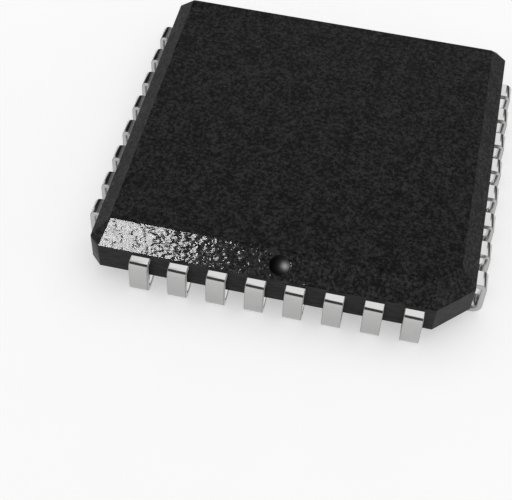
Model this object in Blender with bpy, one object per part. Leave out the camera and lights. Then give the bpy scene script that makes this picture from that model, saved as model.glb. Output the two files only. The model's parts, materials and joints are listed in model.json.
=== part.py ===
"""Plastic leaded chip carrier with a row of J-shaped leads on each side.

The moulded body is centred on the Z axis and stands on its lead feet at z = 0.
The front, with the round index dimple, faces -Y and the large corner cut is at +X, -Y.
Each row of leads is drawn on the front side and then turned about the Z axis.
"""
import math

import bmesh
import bpy
from mathutils import Matrix, Vector

MM = 0.001

# Moulded body
BODY_SIDE = 12.43 * MM
BAND_HEIGHT = 1.03 * MM
BAND_DRAFT = 0.01 * MM
SLOPE_HEIGHT = 0.56 * MM
SLOPE_RUN = 0.57 * MM
FRONT_SLOPE_RUN = 0.79 * MM
CORNER_CUT = 0.36 * MM
KEY_CORNER_CUT = 1.12 * MM
SHARPEST_CUT = 0.02 * MM
STANDOFF = 0.57 * MM
DIMPLE_RADIUS = 0.33 * MM
DIMPLE_DEPTH = 0.04 * MM
DIMPLE_SEGMENTS = 24
DIMPLE_BALL_RINGS = 96

# Leads outside the body, bent from sheet
LEAD_PITCH = 1.27 * MM
LEAD_WIDTH = 0.62 * MM
LEAD_TO_CORNER = 1.60 * MM
SHEET_THICKNESS = 0.18 * MM
SHOULDER_DROP = 0.17 * MM
LEAD_REACH = 0.38 * MM
SHOULDER_BEND = 0.22 * MM
HEEL_BEND = 0.34 * MM
FOOT_FLAT = 0.16 * MM
FOOT_BEND = 1.30 * MM
FOOT_LENGTH = 1.25 * MM
BEND_STEPS = 5
FOOT_STEPS = 4

# Lead fingers inside the body
FINGER_ROOT = 0.35 * MM
NOTCH_LENGTH = 0.40 * MM
NOTCH_DEPTH = 0.10 * MM
FINGER_NECK = 0.25 * MM
FINGER_TIP_TO_CORNER = 0.74 * MM
FINGER_TIP_WIDTH = 0.36 * MM
FINGER_TIP_LENGTH = 0.35 * MM
FINGER_TO_PAD = 0.30 * MM

# Die pad, glue and die
PAD_SIDE = 6.20 * MM
PAD_CORNER_CUT = 1.28 * MM
PAD_PROUD = 0.03 * MM
PAD_LIP = 0.12 * MM
PAD_LIP_THICKNESS = 0.08 * MM
GLUE_THICKNESS = 0.025 * MM
GLUE_MARGIN = 0.06 * MM
DIE_LENGTH = 4.40 * MM
DIE_WIDTH = 4.00 * MM
DIE_THICKNESS = 0.30 * MM

# Bond wires from the die to the finger tips
WIRE_RADIUS = 0.0125 * MM
BALL_RADIUS = 0.035 * MM
BALL_HEIGHT = 0.030 * MM
BALL_SUNK = 0.010 * MM
STITCH_LENGTH = 0.08 * MM
BALL_ROW_LENGTH = 3.08 * MM
BALL_FROM_DIE_EDGE = 0.12 * MM
STITCH_FROM_FINGER_TIP = 0.16 * MM
WIRE_LOOP_RISE = 0.28 * MM
WIRE_STEPS = 5

# Clearances
MOULD_GAP = 0.010 * MM
SEAT_GAP = 0.002 * MM
WIRE_GAP = 0.020 * MM
CUT_THROUGH = 0.50 * MM
WELD_DISTANCE = 0.00001 * MM

# Heights, distances and counts that follow from the sizes above
HALF_BODY = BODY_SIDE / 2
Z_BODY_BOTTOM = STANDOFF
Z_BAND_TOP = Z_BODY_BOTTOM + BAND_HEIGHT
Z_BODY_TOP = Z_BAND_TOP + SLOPE_HEIGHT
Z_LEAD_TOP = Z_BAND_TOP - SHOULDER_DROP
Z_PAD_BOTTOM = Z_BODY_BOTTOM - PAD_PROUD
Z_PAD_TOP = Z_PAD_BOTTOM + SHEET_THICKNESS
Z_GLUE_BOTTOM = Z_PAD_TOP + SEAT_GAP
Z_GLUE_TOP = Z_GLUE_BOTTOM + GLUE_THICKNESS
Z_DIE_BOTTOM = Z_GLUE_TOP + SEAT_GAP
Z_DIE_TOP = Z_DIE_BOTTOM + DIE_THICKNESS
OUTER_FACE = HALF_BODY + LEAD_REACH
SHOULDER_END = OUTER_FACE - SHOULDER_BEND
FINGER_TIP = PAD_SIDE / 2 + FINGER_TO_PAD
LEADS_PER_SIDE = 1 + math.floor((BODY_SIDE - 2 * LEAD_TO_CORNER) / LEAD_PITCH)
FINGER_TIP_PITCH = 2 * (FINGER_TIP - FINGER_TIP_TO_CORNER) / (LEADS_PER_SIDE - 1)
BALL_PITCH = BALL_ROW_LENGTH / (LEADS_PER_SIDE - 1)

# Angle of each side about the Z axis, and half the die's size towards that side
SIDES = {
    "front": (math.radians(0), DIE_WIDTH / 2),
    "right": (math.radians(90), DIE_LENGTH / 2),
    "back": (math.radians(180), DIE_WIDTH / 2),
    "left": (math.radians(270), DIE_LENGTH / 2),
}


def clear_scene():
    """Remove every object, so that the script can be run again."""
    for old in list(bpy.data.objects):
        bpy.data.objects.remove(old, do_unlink=True)


def make_material(name, colour, roughness, metallic):
    """A Principled material of one colour."""
    material = bpy.data.materials.new(name)
    material.use_nodes = True
    shader = material.node_tree.nodes["Principled BSDF"]
    shader.inputs["Base Color"].default_value = (*colour, 1)
    shader.inputs["Roughness"].default_value = roughness
    shader.inputs["Metallic"].default_value = metallic
    return material


def add_object(name, data, material=None, turn=0.0):
    """Put a mesh or a curve in the scene, turned about the Z axis."""
    piece = bpy.data.objects.new(name, data)
    piece.rotation_euler.z = turn
    bpy.context.scene.collection.objects.link(piece)
    if material and not data.materials:
        data.materials.append(material)
    return piece


def add_helper(name, data):
    """Put a solid in the scene that only serves to shape another one."""
    helper = add_object(name, data)
    helper.hide_render = True
    helper.display_type = "WIRE"
    return helper


def combine(piece, other, operation):
    """Cut another solid from a piece, or join it on, with a live Boolean modifier."""
    boolean = piece.modifiers.new(other.name, "BOOLEAN")
    boolean.operation = operation
    boolean.solver = "EXACT"
    boolean.object = other


def finished_mesh(name, bm):
    """Point all faces outwards and keep the bmesh as a mesh."""
    bmesh.ops.recalc_face_normals(bm, faces=bm.faces)
    mesh = bpy.data.meshes.new(name)
    bm.to_mesh(mesh)
    bm.free()
    return mesh


def new_face(made):
    """The face in the result of an extrusion or a spin."""
    return next(item for item in made if isinstance(item, bmesh.types.BMFace))


def grow_face(bm, face):
    """Extrude a face with its edges, so that no inner face is left behind."""
    return new_face(bmesh.ops.extrude_face_region(bm, geom=[face, *face.edges])["geom"])


def extrude(bm, face, step):
    """Extrude a face along a vector."""
    face = grow_face(bm, face)
    bmesh.ops.translate(bm, verts=face.verts, vec=step)
    return face


def extrude_to(bm, face, corners):
    """Extrude a face and set the new face on other corners, given in the same order."""
    face = grow_face(bm, face)
    for vertex, corner in zip(face.verts, corners):
        vertex.co = corner
    return face


def bend(bm, face, centre, angle, steps):
    """Carry a face round a centre by an angle about the X axis, as sheet is bent."""
    geom = [face, *face.edges, *face.verts]
    made = bmesh.ops.spin(bm, geom=geom, cent=centre, axis=(1, 0, 0), angle=angle, steps=steps)
    return new_face(made["geom_last"])


def stacked_mesh(name, levels):
    """A solid through outlines at rising heights, each level an outline and its z."""
    bm = bmesh.new()
    rings = [[Vector((x, y, z)) for x, y in outline] for outline, z in levels]
    face = bm.faces.new([bm.verts.new(corner) for corner in rings[0]])
    for ring in rings[1:]:
        face = extrude_to(bm, face, ring)
    return finished_mesh(name, bm)


def cut_rectangle(half_x, half_y, cuts):
    """A rectangle with its corners cut at 45 degrees, anticlockwise from +X, -Y."""
    outline = []
    corners = [(1, -1), (1, 1), (-1, 1), (-1, -1)]
    for (sign_x, sign_y), cut in zip(corners, cuts):
        cut = max(cut, SHARPEST_CUT)
        along_x = (sign_x * (half_x - cut), sign_y * half_y)
        along_y = (sign_x * half_x, sign_y * (half_y - cut))
        outline += [along_x, along_y] if sign_x * sign_y < 0 else [along_y, along_x]
    return outline


def shorter_cut(cut, inset):
    """The length of a corner cut where the outline has moved inwards."""
    return cut - (2 - math.sqrt(2)) * inset


def body_outline(inset, front_inset):
    """The body's outline moved inwards, by its own distance at the front."""
    mean = (inset + front_inset) / 2
    back_cut = shorter_cut(CORNER_CUT, inset)
    cuts = [shorter_cut(KEY_CORNER_CUT, mean), back_cut, back_cut, shorter_cut(CORNER_CUT, mean)]
    outline = cut_rectangle(HALF_BODY - inset, HALF_BODY - mean, cuts)
    return [(x, y + mean - inset) for x, y in outline]


def pad_outline(grow):
    """The die pad's outline, with one corner cut off, moved outwards."""
    half = PAD_SIDE / 2 + grow
    return cut_rectangle(half, half, (0, 0, 0, shorter_cut(PAD_CORNER_CUT, -grow)))


def plain_outline(length, width, grow):
    """A rectangle moved outwards."""
    return cut_rectangle(length / 2 + grow, width / 2 + grow, (0, 0, 0, 0))


def across(index, pitch):
    """How far a lead's centre line lies from the middle of its side."""
    return (index - (LEADS_PER_SIDE - 1) / 2) * pitch


def finger_outline(index, gap, outer_end):
    """Plan view of a lead from its tip over the die pad's edge to its outer end.

    The finger is straight at the tip, fans out, and has a notch on both edges
    near the wall, which the plastic fills and so holds the lead.
    """
    root = across(index, LEAD_PITCH)
    tip = across(index, FINGER_TIP_PITCH)
    wide = LEAD_WIDTH / 2
    notch_out = HALF_BODY - FINGER_ROOT
    notch_in = notch_out - NOTCH_LENGTH
    stations = [
        (FINGER_TIP - gap, tip, FINGER_TIP_WIDTH / 2),
        (FINGER_TIP + FINGER_TIP_LENGTH, tip, FINGER_TIP_WIDTH / 2),
        (notch_in - FINGER_NECK, root, wide),
        (notch_in, root, wide),
        (notch_in + NOTCH_DEPTH, root, wide - NOTCH_DEPTH),
        (notch_out - NOTCH_DEPTH, root, wide - NOTCH_DEPTH),
        (notch_out, root, wide),
        (outer_end, root, wide),
    ]
    left = [(middle - half - gap, -out) for out, middle, half in stations]
    right = [(middle + half + gap, -out) for out, middle, half in stations]
    return left + right[::-1]


def add_finger(bm, index, gap, outer_end):
    """The flat part of a lead; returns the face at its outer end."""
    low = Z_LEAD_TOP - SHEET_THICKNESS - gap
    high = Z_LEAD_TOP + gap
    outline = [Vector((x, y, low)) for x, y in finger_outline(index, gap, outer_end)]
    base = bm.faces.new([bm.verts.new(corner) for corner in outline])
    top = extrude(bm, base, Vector((0, 0, high - low)))
    outermost = min(top.edges, key=lambda edge: max(vertex.co.y for vertex in edge.verts))
    return next(face for face in outermost.link_faces if face is not top)


def lead_mesh(index):
    """One lead, cut as a flat finger and bent down and under the body as a J."""
    bm = bmesh.new()
    face = add_finger(bm, index, 0.0, SHOULDER_END)
    shoulder_centre = Vector((0, -SHOULDER_END, Z_LEAD_TOP - SHOULDER_BEND))
    face = bend(bm, face, shoulder_centre, math.radians(90), BEND_STEPS)
    drop = Z_LEAD_TOP - SHOULDER_BEND - HEEL_BEND
    face = extrude(bm, face, Vector((0, 0, -drop)))
    heel_centre = Vector((0, HEEL_BEND - OUTER_FACE, HEEL_BEND))
    face = bend(bm, face, heel_centre, math.radians(90), BEND_STEPS)
    face = extrude(bm, face, Vector((0, FOOT_FLAT, 0)))
    curled = FOOT_LENGTH - HEEL_BEND - FOOT_FLAT
    foot_centre = Vector((0, HEEL_BEND + FOOT_FLAT - OUTER_FACE, FOOT_BEND))
    bend(bm, face, foot_centre, math.asin(curled / FOOT_BEND), FOOT_STEPS)
    return finished_mesh("lead_shape_%d" % (index + 1), bm)


def add_leads(material):
    """All leads, numbered anticlockwise from the one beside the dimple."""
    shapes = [lead_mesh(index) for index in range(LEADS_PER_SIDE)]
    total = LEADS_PER_SIDE * len(SIDES)
    first = LEADS_PER_SIDE // 2
    for side, (turn, _) in enumerate(SIDES.values()):
        for index, shape in enumerate(shapes):
            number = (side * LEADS_PER_SIDE + index - first) % total + 1
            add_object("lead_%02d" % number, shape, material, turn)


def slot_cutter():
    """The space that the lead fingers take up in the plastic."""
    bm = bmesh.new()
    for turn, _ in SIDES.values():
        before = set(bm.verts)
        for index in range(LEADS_PER_SIDE):
            add_finger(bm, index, MOULD_GAP, HALF_BODY + CUT_THROUGH)
        added = [vertex for vertex in bm.verts if vertex not in before]
        bmesh.ops.rotate(bm, verts=added, cent=(0, 0, 0), matrix=Matrix.Rotation(turn, 3, "Z"))
    return add_helper("lead_slots", finished_mesh("lead_slots", bm))


def pad_levels(grow, bottom, top):
    """The die pad's outlines from its exposed face up to the lip that locks it in."""
    step = Z_PAD_TOP - PAD_LIP_THICKNESS - grow
    exposed = pad_outline(grow)
    lip = pad_outline(grow + PAD_LIP)
    return [(exposed, bottom), (exposed, step), (lip, step), (lip, top)]


def pad_cutter():
    """The space that the die pad takes up, open underneath."""
    levels = pad_levels(MOULD_GAP, Z_PAD_BOTTOM - CUT_THROUGH, Z_PAD_TOP + MOULD_GAP)
    return add_helper("pad_space", stacked_mesh("pad_space", levels))


def die_cutter():
    """The space that the glue and the die take up on the pad."""
    glue = plain_outline(DIE_LENGTH, DIE_WIDTH, GLUE_MARGIN + MOULD_GAP)
    die = plain_outline(DIE_LENGTH, DIE_WIDTH, MOULD_GAP)
    step = Z_GLUE_TOP + MOULD_GAP
    levels = [(glue, Z_PAD_BOTTOM), (glue, step), (die, step), (die, Z_DIE_TOP + MOULD_GAP)]
    return add_helper("die_space", stacked_mesh("die_space", levels))


def dimple_cutter():
    """A ball that sinks a shallow round dimple into the middle of the front slope."""
    ball_radius = (DIMPLE_RADIUS ** 2 + DIMPLE_DEPTH ** 2) / (2 * DIMPLE_DEPTH)
    outward = Vector((0, -SLOPE_HEIGHT, FRONT_SLOPE_RUN)).normalized()
    on_slope = Vector((0, FRONT_SLOPE_RUN / 2 - HALF_BODY, Z_BAND_TOP + SLOPE_HEIGHT / 2))
    centre = on_slope + outward * (ball_radius - DIMPLE_DEPTH)
    placing = Matrix.Translation(centre) @ outward.to_track_quat("Z", "Y").to_matrix().to_4x4()
    bm = bmesh.new()
    bmesh.ops.create_uvsphere(
        bm, u_segments=DIMPLE_SEGMENTS, v_segments=DIMPLE_BALL_RINGS, radius=ball_radius, matrix=placing
    )
    return add_helper("dimple_ball", finished_mesh("dimple_ball", bm))


def wire_path(index, die_reach, past_end):
    """The points of one bond wire and the wire's radius at each.

    It leaves the die as a ball, rises, arcs over the die's edge and ends in a
    flat stitch on the finger. A tunnel for it runs on a little past that end.
    """
    ball = Vector((across(index, BALL_PITCH), BALL_FROM_DIE_EDGE - die_reach, Z_DIE_TOP))
    start = ball - Vector((0, 0, BALL_SUNK))
    ball_top = ball + Vector((0, 0, BALL_HEIGHT))
    neck = ball_top + Vector((0, 0, BALL_HEIGHT))
    z_stitch = Z_LEAD_TOP + SEAT_GAP + WIRE_RADIUS
    stitch_out = STITCH_FROM_FINGER_TIP + STITCH_LENGTH
    end = Vector((across(index, FINGER_TIP_PITCH), -FINGER_TIP - stitch_out, z_stitch))
    inwards = (neck - end).xy.normalized().to_3d()
    landing = end + inwards * STITCH_LENGTH
    z_loop = Z_LEAD_TOP + WIRE_LOOP_RISE
    over_die = Vector((neck.x, neck.y, z_loop))
    over_gap = over_die.lerp(Vector((landing.x, landing.y, z_loop)), 0.6)
    points = [start, ball_top]
    for step in range(WIRE_STEPS + 1):
        points.append(bezier(neck, over_die, over_gap, landing, step / WIRE_STEPS))
    points.append(end - inwards * past_end)
    radii = [BALL_RADIUS, BALL_RADIUS] + [WIRE_RADIUS] * (len(points) - 2)
    return points, radii


def bezier(start, first, second, end, t):
    """A point on a cubic curve."""
    near = start * (1 - t) ** 3 + first * 3 * t * (1 - t) ** 2
    far = second * 3 * t ** 2 * (1 - t) + end * t ** 3
    return near + far


def wires_curve(name, die_reach, grow, past_end, resolution):
    """The bond wires of one side as tubes with closed ends."""
    curve = bpy.data.curves.new(name, "CURVE")
    curve.dimensions = "3D"
    curve.bevel_depth = WIRE_RADIUS
    curve.bevel_resolution = resolution
    curve.use_fill_caps = True
    for index in range(LEADS_PER_SIDE):
        points, radii = wire_path(index, die_reach, past_end)
        spline = curve.splines.new("POLY")
        spline.points.add(len(points) - 1)
        for target, point, radius in zip(spline.points, points, radii):
            target.co = (*point, 1)
            target.radius = (radius + grow) / WIRE_RADIUS
    return curve


def wires_helper(name, grow, past_end, resolution):
    """The bond wires of all sides as one mesh, thicker and longer for the tunnels."""
    bm = bmesh.new()
    for turn, die_reach in SIDES.values():
        before = set(bm.verts)
        guide = add_object("guide", wires_curve("guide", die_reach, grow, past_end, resolution))
        bm.from_mesh(guide.to_mesh())
        guide.to_mesh_clear()
        bpy.data.objects.remove(guide, do_unlink=True)
        added = [vertex for vertex in bm.verts if vertex not in before]
        bmesh.ops.rotate(bm, verts=added, cent=(0, 0, 0), matrix=Matrix.Rotation(turn, 3, "Z"))
    bmesh.ops.remove_doubles(bm, verts=bm.verts, dist=WELD_DISTANCE)
    return add_helper(name, finished_mesh(name, bm))


def wire_tunnels():
    """The space that the bond wires take up, as square tunnels as wide as their balls."""
    grow = (BALL_RADIUS + WIRE_GAP) * math.sqrt(2) - BALL_RADIUS
    return wires_helper("wire_tunnels", grow, WIRE_GAP, 0)


def add_body(material):
    """The moulded body: an upright band, a slope all round and a flat top."""
    levels = [
        (body_outline(BAND_DRAFT, BAND_DRAFT), Z_BODY_BOTTOM),
        (body_outline(0.0, 0.0), Z_BAND_TOP),
        (body_outline(SLOPE_RUN, FRONT_SLOPE_RUN), Z_BODY_TOP),
    ]
    body = add_object("moulded_body", stacked_mesh("moulded_body", levels), material)
    for cutter in (pad_cutter(), die_cutter(), slot_cutter(), wire_tunnels(), dimple_cutter()):
        combine(body, cutter, "DIFFERENCE")


def add_pad(material):
    """The die pad, whose underside shows below the body."""
    levels = pad_levels(0.0, Z_PAD_BOTTOM, Z_PAD_TOP)
    add_object("die_pad", stacked_mesh("die_pad", levels), material)


def add_glue(material):
    """The layer of glue that holds the die on its pad."""
    outline = plain_outline(DIE_LENGTH, DIE_WIDTH, GLUE_MARGIN)
    levels = [(outline, Z_GLUE_BOTTOM), (outline, Z_GLUE_TOP)]
    add_object("die_glue", stacked_mesh("die_glue", levels), material)


def add_die(material):
    """The die, with the bond wires welded to it."""
    outline = plain_outline(DIE_LENGTH, DIE_WIDTH, 0.0)
    levels = [(outline, Z_DIE_BOTTOM), (outline, Z_DIE_TOP)]
    die = add_object("die_and_wires", stacked_mesh("die_and_wires", levels), material)
    combine(die, wires_helper("bond_wires", 0.0, 0.0, 1), "UNION")


def main():
    clear_scene()
    plastic = make_material("mould_compound", (0.020, 0.020, 0.021), 0.55, 0.0)
    tin = make_material("tin_plate", (0.62, 0.62, 0.61), 0.32, 1.0)
    pad_metal = make_material("pad_plate", (0.50, 0.50, 0.50), 0.36, 1.0)
    glue = make_material("silver_epoxy", (0.42, 0.42, 0.40), 0.60, 0.0)
    silicon = make_material("silicon", (0.10, 0.11, 0.13), 0.20, 0.3)
    add_body(plastic)
    add_leads(tin)
    add_pad(pad_metal)
    add_glue(glue)
    add_die(silicon)


main()
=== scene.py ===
# %% [markdown]
# # A plastic leaded chip carrier
#
# The real object is a square block of black epoxy, 12.4 mm wide, moulded round a lead frame.
# Eight leads leave each side, turn down over a shoulder and curl under the block like a J.
# The solids come from the imported CAD part. This script dresses them: it rounds their edges,
# gives every surface its finish, and sets up the camera, the lights and the floor.
#
# The imported part is loaded first and its box is kept, so that both boxes can be gathered at the end.

import json
import math

import bmesh
import bpy
from mathutils import Matrix, Vector

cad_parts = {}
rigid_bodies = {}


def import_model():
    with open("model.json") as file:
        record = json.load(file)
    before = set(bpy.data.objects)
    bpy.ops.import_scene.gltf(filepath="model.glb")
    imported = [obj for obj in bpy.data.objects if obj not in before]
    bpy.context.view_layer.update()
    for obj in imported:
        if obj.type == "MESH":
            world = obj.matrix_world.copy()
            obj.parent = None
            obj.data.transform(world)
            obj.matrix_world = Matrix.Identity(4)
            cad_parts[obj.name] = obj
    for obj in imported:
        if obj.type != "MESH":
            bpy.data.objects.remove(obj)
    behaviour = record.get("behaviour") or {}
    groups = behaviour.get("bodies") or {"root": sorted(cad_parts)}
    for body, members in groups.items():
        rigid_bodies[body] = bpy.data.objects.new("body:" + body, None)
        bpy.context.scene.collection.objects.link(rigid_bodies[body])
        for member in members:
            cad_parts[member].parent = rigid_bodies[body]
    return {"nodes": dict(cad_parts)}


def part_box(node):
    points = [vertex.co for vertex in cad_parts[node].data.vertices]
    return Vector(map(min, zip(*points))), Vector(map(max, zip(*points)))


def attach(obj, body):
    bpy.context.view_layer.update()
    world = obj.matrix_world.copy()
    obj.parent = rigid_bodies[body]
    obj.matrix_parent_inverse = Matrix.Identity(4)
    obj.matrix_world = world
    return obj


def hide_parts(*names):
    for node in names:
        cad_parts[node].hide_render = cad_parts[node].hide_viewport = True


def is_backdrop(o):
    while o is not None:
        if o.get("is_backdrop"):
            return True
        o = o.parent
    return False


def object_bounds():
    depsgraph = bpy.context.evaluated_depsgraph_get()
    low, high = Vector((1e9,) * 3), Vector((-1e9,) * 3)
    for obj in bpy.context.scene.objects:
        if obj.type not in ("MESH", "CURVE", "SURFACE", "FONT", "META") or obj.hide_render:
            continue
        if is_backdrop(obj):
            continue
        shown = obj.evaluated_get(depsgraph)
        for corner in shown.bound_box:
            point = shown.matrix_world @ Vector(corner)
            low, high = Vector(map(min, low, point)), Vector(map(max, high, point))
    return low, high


for spare in list(bpy.data.objects):
    bpy.data.objects.remove(spare, do_unlink=True)
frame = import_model()
cad_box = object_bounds()
nodes = frame["nodes"]
MM = 0.001
print("CAD nodes:", len(nodes))
print("box in mm:", [round((high - low) / MM, 3) for low, high in zip(*cad_box)])

# %% [markdown]
# ## Where the faces of the part lie
#
# The finishes change from one face to the next: the top is mottled, the upright band is smooth,
# the dimple is polished. A finish can find a face by its place, so the heights and distances that
# it needs are read from the CAD nodes' boxes. Sizes that no box gives are named here. One finish
# gives way to the next within a hair's breadth of an edge.

# %% Heights and distances
body_low, body_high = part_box("moulded_body")

SLOPE_HEIGHT = 0.56 * MM
FRONT_SLOPE_RUN = 0.79 * MM
DIMPLE_RADIUS = 0.33 * MM
HAIR = 0.01 * MM
HALF_BODY = body_high.x
Z_BOTTOM = body_low.z
Z_TOP = body_high.z
Z_BAND_TOP = Z_TOP - SLOPE_HEIGHT
Z_DIE_TOP = 1.049 * MM
Z_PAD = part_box("die_pad")[0].z
DIMPLE_CENTRE = Vector((0, FRONT_SLOPE_RUN / 2 - HALF_BODY, Z_BAND_TOP + SLOPE_HEIGHT / 2))
heights = [round(height / MM, 3) for height in (Z_BOTTOM, Z_BAND_TOP, Z_TOP)]
print("bottom, upper edge of the band and top in mm:", heights)

# %% [markdown]
# ## Writing shader maths as Python
#
# A material is a graph of nodes, and so is the world. Nodes can be placed by hand, but a long graph
# is hard to read. Here a small class wraps one output socket and overloads the arithmetic signs,
# so that `1 - mask * 0.4` adds its own Math nodes. A second class holds one graph and has one
# method that makes any other node from its type, its settings and its inputs.

# %% The socket and the graph
class Signal:
    """One output socket of a graph, on which arithmetic signs add Math nodes."""

    def __init__(self, graph, socket):
        self.graph = graph
        self.socket = socket

    def __add__(self, other):
        return self.graph.maths("ADD", self, other)

    def __radd__(self, other):
        return self.graph.maths("ADD", other, self)

    def __sub__(self, other):
        return self.graph.maths("SUBTRACT", self, other)

    def __rsub__(self, other):
        return self.graph.maths("SUBTRACT", other, self)

    def __mul__(self, other):
        return self.graph.maths("MULTIPLY", self, other)

    def __rmul__(self, other):
        return self.graph.maths("MULTIPLY", other, self)


class Graph:
    """The nodes of one material, or of the world."""

    def __init__(self, tree):
        self.tree = tree

    def feed(self, socket, value):
        """Set a socket to a number or colour, or link a signal to it."""
        if isinstance(value, Signal):
            self.tree.links.new(value.socket, socket)
        else:
            socket.default_value = value

    def node(self, kind, settings=None, inputs=None, output=0):
        """Add a node: its settings first, then its inputs; returns one of its outputs."""
        made = self.tree.nodes.new(kind)
        for name, value in (settings or {}).items():
            setattr(made, name, value)
        for name, value in (inputs or {}).items():
            self.feed(made.inputs[name], value)
        return Signal(self, made.outputs[output])

    def maths(self, operation, *values):
        """A Math node on numbers and signals."""
        return self.node("ShaderNodeMath", {"operation": operation}, dict(enumerate(values)))


print("signs that add a Math node: + - *")

# %% [markdown]
# ## A finish
#
# A finish is the graph of one material. The same few nodes come back in each of them: the place of
# a point, a mix of two colours, a soft step, noise and bump. They get short names here, and their
# sizes are given in metres, so that a finish reads like a description of the surface.

# %% The finish
class Finish(Graph):
    """The graph of a new material, with the nodes that every finish needs."""

    def __init__(self, name):
        self.material = bpy.data.materials.new(name)
        self.material.use_nodes = True
        super().__init__(self.material.node_tree)
        self.shader = self.tree.nodes["Principled BSDF"]

    def place(self):
        """The place of a point on the object, in metres."""
        return self.node("ShaderNodeTexCoord", output="Object")

    def along(self, place, axis):
        """One coordinate of a place."""
        return self.node("ShaderNodeSeparateXYZ", None, {0: place}, axis)

    def vector(self, operation, *values, output=0):
        """A Vector Math node."""
        settings = {"operation": operation}
        return self.node("ShaderNodeVectorMath", settings, dict(enumerate(values)), output)

    def mix(self, factor, colour_a, colour_b):
        """A mix of two colours."""
        inputs = {0: factor, 6: colour_a, 7: colour_b}
        return self.node("ShaderNodeMix", {"data_type": "RGBA"}, inputs, 2)

    def step(self, value, low, high, to_low=0.0, to_high=1.0):
        """A soft step, from one value below low to another above high."""
        inputs = {"Value": value, "From Min": low, "From Max": high, "To Min": to_low, "To Max": to_high}
        return self.node("ShaderNodeMapRange", {"interpolation_type": "SMOOTHSTEP"}, inputs)

    def noise(self, place, size, detail, roughness=0.5):
        """Cloudy noise whose clouds are one to two sizes wide, in metres."""
        inputs = {"Vector": place, "Scale": 0.5 / size, "Detail": detail, "Roughness": roughness}
        return self.node("ShaderNodeTexNoise", {"noise_dimensions": "3D"}, inputs)

    def cells(self, place, size, settings=None):
        """The distance to the nearest of many seeds, which lie about size metres apart."""
        return self.node("ShaderNodeTexVoronoi", settings, {"Vector": place, "Scale": 1 / size})

    def bump(self, height, depth):
        """Bump whose height of 1 stands depth metres above 0."""
        return self.node("ShaderNodeBump", None, {"Height": height, "Distance": depth})

    def surface(self, **inputs):
        """Feed the shader's own sockets, named with _ for a space."""
        for name, value in inputs.items():
            self.feed(self.shader.inputs[name.replace("_", " ")], value)
        return self.material


def grey(level, warmth=0.0):
    """A neutral colour, or a slightly warm one."""
    return (level * (1 + warmth), level, level * (1 - warmth), 1)


print("a slightly warm grey:", grey(0.5, 0.004))

# %% [markdown]
# ## The mould compound
#
# The real surface is epoxy filled with silica powder, black with carbon. The mould is eroded by
# sparks, which leaves shallow craters on the top, the slopes and the bottom. The upright band,
# where the two halves of the mould meet, is smoother and a little paler, and the dimple is a print
# of a polished pin.
#
# The block is one piece, so one material holds all of these. It starts with masks, which are 1 on
# their own region and 0 elsewhere. A mask could be painted, but the regions are flat and lie at
# known heights, so height and the distance from the dimple are enough.

# %% Masks for the regions of the block
EDGE_OF_DIMPLE = (DIMPLE_RADIUS * 0.97, DIMPLE_RADIUS * 0.99)
compound = Finish("mould_compound_mottled")
place = compound.place()
z = compound.along(place, "Z")

above_bottom = compound.step(z, Z_BOTTOM + HAIR, Z_BOTTOM + 2 * HAIR)
below_slope = compound.step(z, Z_BAND_TOP - 2 * HAIR, Z_BAND_TOP - HAIR / 2, 1.0, 0.0)
band = above_bottom * below_slope
below_top = compound.step(z, Z_TOP - 3 * HAIR, Z_TOP - HAIR, 1.0, 0.0)
from_dimple = compound.vector("DISTANCE", place, DIMPLE_CENTRE, output="Value")
dimple = compound.step(from_dimple, *EDGE_OF_DIMPLE, 1.0, 0.0)
mottled = 1 - compound.maths("MAXIMUM", band, dimple)
print("nodes for the masks:", len(compound.tree.nodes))

# %% [markdown]
# ## Its colour
#
# The silica shows as a fine mottle of dark and paler grains, with broader clouds behind it. The slopes,
# and with them the bottom, get paler greys than the top: painted light, a lighter tone that stands in for
# the light that the slopes catch. On the band the grains are drawn into short level streaks, so there the
# noise is stretched along X and Y.

# %% Colour of the compound
GRAIN = 0.058 * MM
CLOUD = 0.35 * MM
STREAK = 0.030 * MM
STREAK_STRETCH = (0.16, 0.16, 1.0)
GRAIN_SHARE = 0.85
MOTTLED_FROM_TO = (0.40, 0.68)
STREAKED_FROM_TO = (0.34, 0.66)
TOP_GREYS = (0.0050, 0.0520)
# Paler greys for the faces below the top: painted light on the slopes.
SLOPE_PAINTED_LIGHT_GREYS = (0.0140, 0.0700)
BAND_GREYS = (0.0280, 0.0520)
# Near black in the dimple: painted shade, for the dark that its polished hollow shows.
DIMPLE_PAINTED_SHADE_GREY = 0.0004

grains = compound.noise(place, GRAIN, detail=3.0, roughness=0.80)
clouds = compound.noise(place, CLOUD, detail=2.0, roughness=0.6)
spread = compound.step(grains * GRAIN_SHARE + clouds * (1 - GRAIN_SHARE), *MOTTLED_FROM_TO)
along_band = compound.vector("MULTIPLY", place, STREAK_STRETCH)
streaks = compound.step(compound.noise(along_band, STREAK, detail=3.0, roughness=0.7), *STREAKED_FROM_TO)

top_colour = compound.mix(spread, *map(grey, TOP_GREYS))
# The slopes' colour, paler than the top's: painted light.
slope_painted_light_colour = compound.mix(spread, *map(grey, SLOPE_PAINTED_LIGHT_GREYS))
band_colour = compound.mix(streaks, *map(grey, BAND_GREYS))
colour = compound.mix(below_top, top_colour, slope_painted_light_colour)
colour = compound.mix(band, colour, band_colour)
# The dimple is painted near black: painted shade in the hollow.
colour = compound.mix(dimple, colour, grey(DIMPLE_PAINTED_SHADE_GREY))
print("nodes with the colour:", len(compound.tree.nodes))

# %% [markdown]
# ## Its gloss
#
# The surface is polished between the craters when it is seen steeply, and looks matt when it is
# seen flat, because the craters' rims then hide their hollows. Layer Weight gives that turn. The
# band is matt from every side, and the dimple shines.

# %% Gloss of the compound
SPECK = 0.032 * MM
SPECKS_FROM_TO = (0.36, 0.50)
SPECK_ROUGHNESS = (0.14, 0.07)
TURN_FROM_TO = (0.30, 0.62)
MATT_WHEN_FLAT = 0.42
BAND_ROUGHNESS = 0.40
STREAK_SHINE = 0.12
DIMPLE_ROUGHNESS = 0.26
COMPOUND_GLOSS = 0.055

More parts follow.
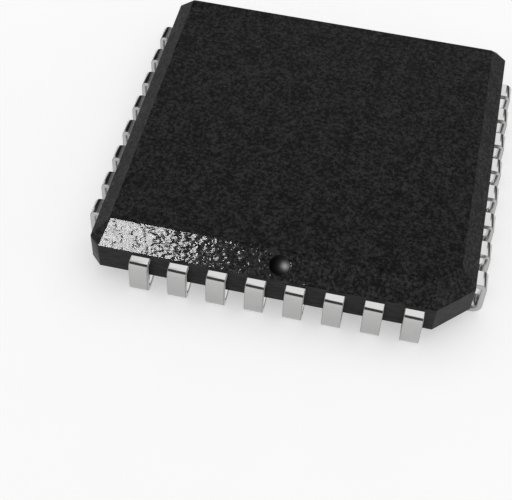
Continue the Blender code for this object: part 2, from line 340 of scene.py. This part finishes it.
specks = compound.step(compound.noise(place, SPECK, detail=1.0), *SPECKS_FROM_TO, *SPECK_ROUGHNESS)
turned = compound.node("ShaderNodeLayerWeight", None, {"Blend": 0.5}, "Facing")
matt = compound.step(turned, *TURN_FROM_TO, 0.0, MATT_WHEN_FLAT)
on_band = (BAND_ROUGHNESS - streaks * STREAK_SHINE) * band
roughness = (specks + matt) * mottled + on_band + dimple * DIMPLE_ROUGHNESS
print("nodes with the gloss:", len(compound.tree.nodes))

# %% [markdown]
# ## Its craters
#
# The craters are about a tenth of a millimetre wide. They could be modelled, but they are far too
# small and too many, so they are bump. A lamp to one side shows only how steeply a surface falls
# along that side, which makes round lumps look embossed. So the lumps are drawn out along X, and
# what the lamp shows of them comes out round. They are turned as well, because the noise is built
# on a grid whose lines would show on a flat face. One Mapping node does both.
#
# A Voronoi pattern gives every point its distance to the nearest seed, and where that is short
# there is a small pit. The patterns are solid, so they need no unwrapping and run over the edges.
# The mean height is taken off, so that the craters fade to nothing round the dimple.

# %% Craters of the compound
LUMP = 0.053 * MM
LUMP_STRETCH = (0.55, 1.0, 1.0)
LUMP_TURN = (0.6, 0.4, 0.8)
WAVE = 0.30 * MM
PIT_SPACING = 0.16 * MM
PIT_RAGGED = 0.032 * MM
RAGGED_SHARE = 0.3
PIT_FROM_TO = (0.23, 0.55)
CALM_RADIUS = DIMPLE_RADIUS * 1.2
LUMP_HEIGHT = 1.15
PIT_HEIGHT = 0.28
WAVE_HEIGHT = 0.60
MEAN_HEIGHT = 1.10
STREAK_HEIGHT = 0.02
CRATER_DEPTH = 0.0058 * MM

off_grid = compound.node(
    "ShaderNodeMapping", {"vector_type": "POINT"},
    {"Vector": place, "Rotation": LUMP_TURN, "Scale": LUMP_STRETCH},
)
lumps = compound.noise(off_grid, LUMP, detail=0.0)
waves = compound.noise(place, WAVE, detail=0.0)
ragged = compound.noise(place, PIT_RAGGED, detail=0.0)
pits = compound.step(compound.cells(place, PIT_SPACING) + ragged * RAGGED_SHARE, *PIT_FROM_TO)
craters = lumps * LUMP_HEIGHT + pits * PIT_HEIGHT + waves * WAVE_HEIGHT - MEAN_HEIGHT
around = compound.step(from_dimple, DIMPLE_RADIUS, CALM_RADIUS)
height = craters * around * (1 - band) + streaks * band * STREAK_HEIGHT
normal = compound.bump(height, CRATER_DEPTH)
mould_compound = compound.surface(Base_Color=colour, Roughness=roughness, Normal=normal)
compound.shader.inputs["Specular IOR Level"].default_value = COMPOUND_GLOSS
print("nodes in the whole finish:", len(compound.tree.nodes))

# %% [markdown]
# ## The tin plate
#
# The leads are copper alloy, 0.18 mm thick, plated with matt tin. The plate is a satin metal with
# a fine grain. It is a little duller and greyer in broad patches, and the rolled sheet leaves very
# faint lines: down the leads, and across the pad. Metallic 1 with a low roughness gives the soft
# mirror; noise at three sizes gives the grain, the patches and the lines.
#
# The rounded edges are rougher than the flats, and their colour is darkened: painted shade, which draws
# thin dark outlines along the leads and the pad.
# They could be told apart by their direction, but a lead bends through every direction. So the
# rounded edges carry a mark of their own, which the finish reads as an attribute.

# %% Tin plate
TIN_GRAIN = 0.010 * MM
TIN_PATCH = 0.30 * MM
ROLLED_LINE = 0.012 * MM
LINES_DOWN = (1.0, 1.0, 0.06)
LINES_ACROSS = (0.06, 1.0, 1.0)
PATCH_SHARE = 0.6
# Painted shade: the grey that darkens the rounded edges.
EDGE_PAINTED_SHADE_GREY = 0.16
EDGE_PAINTED_SHADE_SHARE = 0.5
TIN_ROUGHNESS = 0.09
PATCH_ROUGHNESS = 0.06
GRAIN_ROUGHNESS = 0.04
SHEARED_ROUGHNESS = 0.12
TIN_DEPTH = 0.00035 * MM


def make_tin_plate(name, light, dull, stretch):
    finish = Finish(name)
    place = finish.place()
    grain = finish.noise(place, TIN_GRAIN, detail=2.0, roughness=0.6)
    patches = finish.noise(place, TIN_PATCH, detail=3.0, roughness=0.6)
    lines = finish.noise(finish.vector("MULTIPLY", place, stretch), ROLLED_LINE, detail=1.0)
    shaded_rough_edge = finish.node("ShaderNodeAttribute", {"attribute_name": "rough_edge_and_painted_shade"}, output=2)
    colour = finish.mix(patches * PATCH_SHARE + grain * (1 - PATCH_SHARE), dull, light)
    # Painted shade on the rounded edges, mixed into the tin's colour.
    colour = finish.mix(shaded_rough_edge * EDGE_PAINTED_SHADE_SHARE, colour, grey(EDGE_PAINTED_SHADE_GREY))
    roughness = TIN_ROUGHNESS + patches * PATCH_ROUGHNESS + grain * GRAIN_ROUGHNESS
    roughness = roughness + shaded_rough_edge * SHEARED_ROUGHNESS
    normal = finish.bump(grain * 0.5 + lines * 0.5, TIN_DEPTH)
    return finish.surface(Base_Color=colour, Roughness=roughness, Metallic=1.0, Normal=normal)


tin_plate = make_tin_plate("tin_plate_satin", grey(0.54, 0.004), grey(0.43, 0.006), LINES_DOWN)
pad_plate = make_tin_plate("pad_plate_satin", grey(0.70, 0.004), grey(0.58, 0.006), LINES_ACROSS)
print("tin plate:", len(tin_plate.node_tree.nodes), "nodes")

# %% [markdown]
# ## The inside
#
# The glue, the die and the bond wires are buried in the plastic. They keep their CAD solids and
# get a finish too, so that a cut through the part shows what each of them is. The wires are fused
# with the die, so their gold is chosen by height: everything above the die's face is wire.

# %% Silver glue, silicon and gold
FLAKE = 0.02 * MM
FLAKE_DEPTH = 0.001 * MM
CIRCUIT_BLOCK = 0.35 * MM
WIRE_BLEND = 0.001 * MM
SILICON_BLUE = (0.09, 0.10, 0.13, 1)
SILICON_VIOLET = (0.16, 0.15, 0.19, 1)
GOLD = (0.95, 0.66, 0.25, 1)


def make_silver_glue():
    finish = Finish("silver_glue_flakes")
    flakes = finish.cells(finish.place(), FLAKE)
    shine = finish.step(flakes, 0.2, 0.6, 1.0, 0.0)
    return finish.surface(
        Base_Color=finish.mix(shine, grey(0.30), grey(0.62)), Metallic=shine * 0.8,
        Roughness=0.65 - shine * 0.25, Normal=finish.bump(flakes, FLAKE_DEPTH),
    )


def make_silicon_and_gold():
    finish = Finish("silicon_and_gold")
    place = finish.place()
    wire = finish.step(finish.along(place, "Z"), Z_DIE_TOP + WIRE_BLEND, Z_DIE_TOP + 2 * WIRE_BLEND)
    blocks = finish.cells(place, CIRCUIT_BLOCK, {"distance": "MANHATTAN"})
    silicon = finish.mix(blocks, SILICON_BLUE, SILICON_VIOLET)
    colour = finish.mix(wire, silicon, GOLD)
    return finish.surface(Base_Color=colour, Metallic=0.5 + wire * 0.5, Roughness=0.16 + wire * 0.08)


silver_glue = make_silver_glue()
silicon_and_gold = make_silicon_and_gold()
for name, material in (("die_glue", silver_glue), ("die_and_wires", silicon_and_gold)):
    nodes[name].data.materials[0] = material
print("inner finishes:", silver_glue.name, silicon_and_gold.name)

# %% [markdown]
# ## Rounding the edges of a copy
#
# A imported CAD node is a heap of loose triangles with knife-sharp edges. No real edge is that
# sharp: a mould edge has a radius of some hundredths of a millimetre, and a stamped sheet has a
# rounded side where the punch went in. Light catches those edges, so they are modelled.
#
# A live Bevel modifier would do on a plain box, but it would also try to round the thin slots in
# the body. So each node is copied, its triangles are merged and flat neighbours are joined again,
# which leaves a clean shape whose edges can be picked.

# %% Copy and join
WELD = 0.0001 * MM
FLAT = math.radians(1)


def joined_copy(node_name):
    """A bmesh of a CAD node with its triangles merged and flat neighbours joined."""
    bm = bmesh.new()
    bm.from_mesh(nodes[node_name].data)
    bmesh.ops.remove_doubles(bm, verts=bm.verts, dist=WELD)
    bmesh.ops.dissolve_limit(
        bm, angle_limit=FLAT, verts=bm.verts, edges=bm.edges, use_dissolve_boundaries=False
    )
    return bm


sample = joined_copy("lead_01")
print("lead_01:", len(nodes["lead_01"].data.polygons), "triangles, joined to", len(sample.faces), "faces")
sample.free()

# %% [markdown]
# ## Bevelling and dressing
#
# Only the edges that a test picks are bevelled. The new faces get the mark that the tin plate
# reads. A bevel can leave a face without any area where edges meet, and such faces are dropped.
# Weighted normals keep the large flat faces flat beside the small rounded ones. The copy then stands for
# its node, which is hidden, and joins the root body.

# %% Bevel and dress
CREASE = math.radians(50)


def round_edges(bm, edges, radius, segments):
    """Bevel some edges, mark the new faces for the finish, and drop faces without an area."""
    # The mark that the tin plate reads for rougher edges and painted shade.
    mark = bm.faces.layers.float.new("rough_edge_and_painted_shade")
    made = bmesh.ops.bevel(
        bm, geom=list(edges), offset=radius, offset_type="OFFSET", affect="EDGES",
        segments=segments, profile=0.5, material=-1, clamp_overlap=True, loop_slide=True,
    )
    for face in made["faces"]:
        face[mark] = 1.0
    bmesh.ops.remove_doubles(bm, verts=bm.verts, dist=WELD)
    bmesh.ops.dissolve_degenerate(bm, dist=WELD, edges=bm.edges)


def dressed(bm, name, node_name, material):
    """Keep a bmesh as the piece that stands for a CAD node."""
    mesh = bpy.data.meshes.new(name)
    for face in bm.faces:
        face.smooth = True
        face.material_index = 0
    bm.to_mesh(mesh)
    bm.free()
    for attribute in ("custom_normal", "sharp_face", "sharp_edge"):
        if attribute in mesh.attributes:
            mesh.attributes.remove(mesh.attributes[attribute])
    mesh.shade_smooth()
    mesh.set_sharp_from_angle(angle=CREASE)
    mesh.materials.append(material)
    piece = bpy.data.objects.new(name, mesh)
    bpy.context.scene.collection.objects.link(piece)
    shading = piece.modifiers.new("even_shading", "WEIGHTED_NORMAL")
    shading.weight = 100
    shading.keep_sharp = True
    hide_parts(node_name)
    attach(piece, "root")
    return piece


print("edges stay sharp past", round(math.degrees(CREASE)), "degrees")

# %% [markdown]
# ## The leads
#
# Each lead keeps the CAD shape: finger, shoulder, upright face, heel and curled foot. All its long
# edges turn by 90 degrees, while the steps of its bends turn by 18 at most, so the angle between
# the faces tells the two apart. A radius of 0.02 mm is what a worn stamping tool leaves.

# %% Leads
EDGE_OF_SHEET = 0.020 * MM
SHARP_TURN = math.radians(40)
lead_names = sorted(name for name in nodes if name.startswith("lead_"))
leads = []
for lead_name in lead_names:
    bm = joined_copy(lead_name)
    corners = [
        edge for edge in bm.edges
        if len(edge.link_faces) == 2 and edge.calc_face_angle() > SHARP_TURN
    ]
    round_edges(bm, corners, EDGE_OF_SHEET, segments=2)
    leads.append(dressed(bm, "tinned_" + lead_name, lead_name, tin_plate))
print("leads:", len(leads), "with", len(leads[0].data.polygons), "faces each")

# %% [markdown]
# ## The body
#
# On the body only the outer edges are rounded: those of the top, the slopes, the band and the cut
# corners. They are found by their place. The slots, the pad's pocket and the wire tunnels stay as
# they are. The rim of the dimple is a crisp circle on the real part, too shallow for the angle
# test, so its edges are marked sharp one by one.

# %% Body
EDGE_OF_MOULD = 0.025 * MM
OUTER_TURN = math.radians(15)
SAME_HEIGHT = 0.001 * MM
NEAR_RIM = 0.01


def at_height(vertex, *heights):
    """Whether a vertex lies at one of some heights."""
    return min(abs(vertex.co.z - height) for height in heights) < SAME_HEIGHT


def outside(vertex):
    """Whether a vertex of the body lies on its outer hull, and not in a slot or pocket."""
    from_middle = max(abs(vertex.co.x), abs(vertex.co.y))
    far_out = from_middle > HALF_BODY - FRONT_SLOPE_RUN - 2 * HAIR
    return far_out and at_height(vertex, Z_TOP, Z_BAND_TOP, Z_BOTTOM)


def on_dimple_rim(vertex):
    """Whether a vertex of the body lies on the rim of the dimple."""
    return abs((vertex.co - DIMPLE_CENTRE).length / DIMPLE_RADIUS - 1) < NEAR_RIM


body = joined_copy("moulded_body")
outer = [
    edge for edge in body.edges
    if len(edge.link_faces) == 2 and all(map(outside, edge.verts)) and edge.calc_face_angle() > OUTER_TURN
]
round_edges(body, outer, EDGE_OF_MOULD, segments=3)
moulding = dressed(body, "moulded_block", "moulded_body", mould_compound)
block = moulding.data
rim_edges = [
    edge for edge in block.edges
    if all(on_dimple_rim(block.vertices[corner]) for corner in edge.vertices)
]
for edge in rim_edges:
    edge.use_edge_sharp = True
print("body:", len(block.polygons), "faces,", len(outer), "outer edges rounded")
print("edges round the dimple kept sharp:", len(rim_edges))

# %% [markdown]
# ## The pad
#
# The pad carries the die, and its bare face lies in the bottom of the body. It is punched from the
# same sheet as the leads. Only the edges of the bare face are seen, so only these get a radius.
# They are picked by their height.

# %% Pad
EDGE_OF_PAD = 0.012 * MM
pad = joined_copy("die_pad")
pad_edges = [
    edge for edge in pad.edges
    if edge.calc_face_angle() > SHARP_TURN and all(at_height(vertex, Z_PAD) for vertex in edge.verts)
]
round_edges(pad, pad_edges, EDGE_OF_PAD, segments=2)
plate = dressed(pad, "die_pad_plate", "die_pad", pad_plate)
print("pad:", len(plate.data.polygons), "faces,", len(pad_edges), "edges rounded")

# %% [markdown]
# ## Floor
#
# The part stands on a plain white floor. A real studio floor is lit until it looks white, but that
# much light would also wash out the part. So the floor is pale, and a little glow, which only the
# camera and mirror-like surfaces see, lifts it to white. Its shading is kept under the glow, so
# the part's shadow still shows. The glow goes through the Emission Color, as black where no such
# ray looks. From below the floor is clear, so that the underside can be looked at.

# %% Floor
def looked_at(graph):
    """1 where the camera looks, directly, in a mirror or through something clear; else 0."""
    kinds = ("Is Camera Ray", "Is Glossy Ray", "Is Transmission Ray")
    camera_ray, mirror_ray, clear_ray = (graph.node("ShaderNodeLightPath", output=kind) for kind in kinds)
    return graph.maths("MINIMUM", camera_ray + mirror_ray + clear_ray, 1.0)


FLOOR_SIDE = 1.2
FLOOR_GLOW = 0.44
FLOOR_GREYS = (0.79, 0.81)
FLOOR_CLOUD = 1.5 * MM
floor_mesh = bpy.data.meshes.new("studio_floor")
bm = bmesh.new()
bmesh.ops.create_grid(bm, x_segments=8, y_segments=8, size=FLOOR_SIDE / 2)
bm.to_mesh(floor_mesh)
bm.free()
floor = bpy.data.objects.new("studio_floor", floor_mesh)
bpy.context.scene.collection.objects.link(floor)
floor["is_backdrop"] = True

finish = Finish("floor_white")
glow = finish.mix(looked_at(finish), grey(0.0), grey(FLOOR_GLOW))
white = finish.mix(finish.noise(finish.place(), FLOOR_CLOUD, detail=3.0), *map(grey, FLOOR_GREYS))
finish.surface(Base_Color=white, Roughness=0.7, Emission_Color=glow, Emission_Strength=1.0)
finish.shader.inputs["Specular IOR Level"].default_value = 0.0
underneath = finish.node("ShaderNodeNewGeometry", output="Backfacing")
clear = finish.node("ShaderNodeBsdfTransparent")
painted = Signal(finish, finish.shader.outputs[0])
sheet = finish.node("ShaderNodeMixShader", None, {0: underneath, 1: painted, 2: clear})
finish.feed(finish.tree.nodes["Material Output"].inputs["Surface"], sheet)
floor_mesh.materials.append(finish.material)
print("floor:", FLOOR_SIDE, "m wide")

# %% [markdown]
# ## Camera
#
# The camera was fitted to points measured on the photograph, so it stands where the photograph's
# did: close to the part, to its right, and looking down at 51 degrees.

# %% Camera
AZIMUTH = math.radians(-9.7646)
ELEVATION = math.radians(51.2446)
ROLL = math.radians(3.1745)
LENS_PX = 1208.8
PICTURE_WIDTH = 512
SENSOR = 36.0
CAMERA_PLACE = Vector((3.2437, -29.1625, 31.9201)) * MM

forward = Vector((
    math.sin(AZIMUTH) * math.cos(ELEVATION),
    math.cos(AZIMUTH) * math.cos(ELEVATION),
    -math.sin(ELEVATION),
))
level = Vector((math.cos(AZIMUTH), -math.sin(AZIMUTH), 0))
right = level * math.cos(ROLL) + level.cross(forward) * math.sin(ROLL)
up = right.cross(forward)
camera_data = bpy.data.cameras.new("photo_camera")
camera_data.sensor_width = SENSOR
camera_data.lens = LENS_PX / PICTURE_WIDTH * SENSOR
camera_data.clip_start = 1 * MM
camera_data.clip_end = 5.0
camera = bpy.data.objects.new("photo_camera", camera_data)
camera.matrix_world = Matrix((right, up, -forward)).transposed().to_4x4()
camera.location = CAMERA_PLACE
bpy.context.scene.collection.objects.link(camera)
bpy.context.scene.camera = camera
print("lens:", round(camera_data.lens, 2), "mm, looking along", [round(v, 4) for v in forward])

# %% [markdown]
# ## The tent
#
# The part is lit as in a small product studio, inside a white tent. The tent is the world: it
# lights everything evenly, and mirror-like surfaces and the camera see it as plain white. It could
# be a dome of cloth with lamps behind it, but the world lights just as evenly and with less noise.
# The strength that it has for each kind of ray is chosen by Light Path nodes.

# %% World
TENT_LIGHT = 0.55
world = bpy.data.worlds.new("studio")
bpy.context.scene.world = world
world.use_nodes = True
tent = Graph(world.node_tree)
cloth = tent.tree.nodes["Background"].inputs
strength = {"Value": looked_at(tent), "To Min": TENT_LIGHT, "To Max": 1.0}
tent.feed(cloth["Color"], grey(1.0))
tent.feed(cloth["Strength"], tent.node("ShaderNodeMapRange", None, strength))
print("the tent lights at", TENT_LIGHT, "and is seen at 1.0")

# %% [markdown]
# ## Lamps
#
# A wide box overhead brightens the shoulders of the leads and the floor. A small strong box to the
# left of the camera is there for the gloss of the plastic alone: it fills the left end of the
# front slope, picks out single craters towards the dimple, and leaves one spot in the dimple. Light
# linking keeps each lamp to its own group of pieces.

# %% Lamps
def aim(thing, place, target):
    """Put a lamp or a card somewhere and turn its face to a point."""
    turn = (target - place).to_track_quat("-Z", "Y").to_matrix().to_4x4()
    thing.matrix_world = Matrix.Translation(place) @ turn


def lit_group(name, pieces):
    """A group of pieces for a lamp to shine on."""
    group = bpy.data.collections.new(name)
    for piece in pieces:
        group.objects.link(piece)
    return group


def soft_box(name, place, target, width, height, radiance, lit):
    """A rectangular lamp of a given brightness, which shines on one group of pieces."""
    lamp = bpy.data.lights.new(name, "AREA")
    lamp.shape = "RECTANGLE"
    lamp.size = width
    lamp.size_y = height
    lamp.energy = radiance * width * height * math.pi
    box = bpy.data.objects.new(name, lamp)
    bpy.context.scene.collection.objects.link(box)
    box.visible_camera = False
    aim(box, place, target)
    box.light_linking.receiver_collection = lit
    return box


middle = Vector((0, 0, 1.3)) * MM
plastic = lit_group("lit_plastic", [moulding])
metal_and_floor = lit_group("lit_metal_and_floor", leads + [plate, floor])
soft_box(
    "top_soft_box", Vector((47, 86, 150)) * MM, target=Vector((47, 86, 0)) * MM,
    width=186 * MM, height=198 * MM, radiance=0.45, lit=metal_and_floor,
)
key = soft_box(
    "key_soft_box", Vector((-42.1, -70, 101)) * MM, target=middle,
    width=33 * MM, height=27 * MM, radiance=132.0, lit=plastic,
)
key.visible_diffuse = False
print("lamps:", [lamp.name for lamp in bpy.data.lights])

# %% [markdown]
# ## Cards
#
# Polished metal in an all-white tent has no shape. So cards stand where the bends of the leads
# look: a wide one in front, one to the left and one to the right. They are seen only by
# mirror-like surfaces and throw no shadow. The right one grades from dark below to light above.
#
# The shoulders on the left are nearly black in the photograph, with a grey strip beside the block,
# while the top beside them is not darkened. A far card would darken both, since both look the same
# way. A card close over the row does it: it stands in the shoulders' way, but not in the top's.
# The black block would hide the cards from the leads behind it, so mirror-like rays pass it.

# %% Cards
def dark_card(name, place, target, width, height, levels, fade):
    """A dull card, grading from a low to a high level, that only mirror-like surfaces see."""
    finish = Finish(name + "_paint")
    up_the_card = finish.along(finish.place(), "Y")
    upper = finish.step(up_the_card, height * fade[0], height * fade[1])
    paint = finish.mix(upper, *map(grey, levels))
    mesh = bpy.data.meshes.new(name)
    bm = bmesh.new()
    bmesh.ops.create_grid(bm, x_segments=1, y_segments=1, size=0.5)
    bmesh.ops.scale(bm, verts=bm.verts, vec=(width, height, 1))
    bm.to_mesh(mesh)
    bm.free()
    mesh.materials.append(finish.surface(Base_Color=paint, Roughness=0.9))
    card = bpy.data.objects.new(name, mesh)
    bpy.context.scene.collection.objects.link(card)
    for ray in ("camera", "diffuse", "shadow", "transmission", "volume_scatter"):
        setattr(card, "visible_" + ray, False)
    aim(card, place, target)
    card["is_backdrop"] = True
    return card


over_row = Vector((-8.9, 4.2, 3.5)) * MM
cards = [
    dark_card(
        "card_front", Vector((-20, -89, 179)) * MM, target=middle,
        width=400 * MM, height=162 * MM, levels=(0.12, 0.12), fade=(0.1, 0.5),
    ),
    dark_card(
        "card_left", Vector((-31, 39, 15)) * MM, target=middle,
        width=50 * MM, height=38.7 * MM, levels=(0.02, 0.02), fade=(0.1, 0.5),
    ),
    dark_card(
        "card_over_left_row", over_row, target=over_row + Vector((0.5, 0, -8)) * MM,
        width=16 * MM, height=4.4 * MM, levels=(0.02, 0.90), fade=(0.405, 0.430),
    ),
    dark_card(
        "card_right", Vector((36, 40, 16)) * MM, target=middle,
        width=76 * MM, height=38 * MM, levels=(0.13, 0.90), fade=(0.0, 0.5),
    ),
]
moulding.visible_glossy = False
print("cards:", [card.name for card in cards])

# %% [markdown]
# ## Finish
#
# Colours are shown as they are, without a film look.

# %% Finish
bpy.context.scene.view_settings.view_transform = "Standard"
sizes = {
    "cad_box": [list(corner) for corner in cad_box],
    "visual_box": [list(corner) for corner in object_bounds()],
}
print("visual box in mm:", [round((high - low) / MM, 3) for low, high in zip(*sizes["visual_box"])])
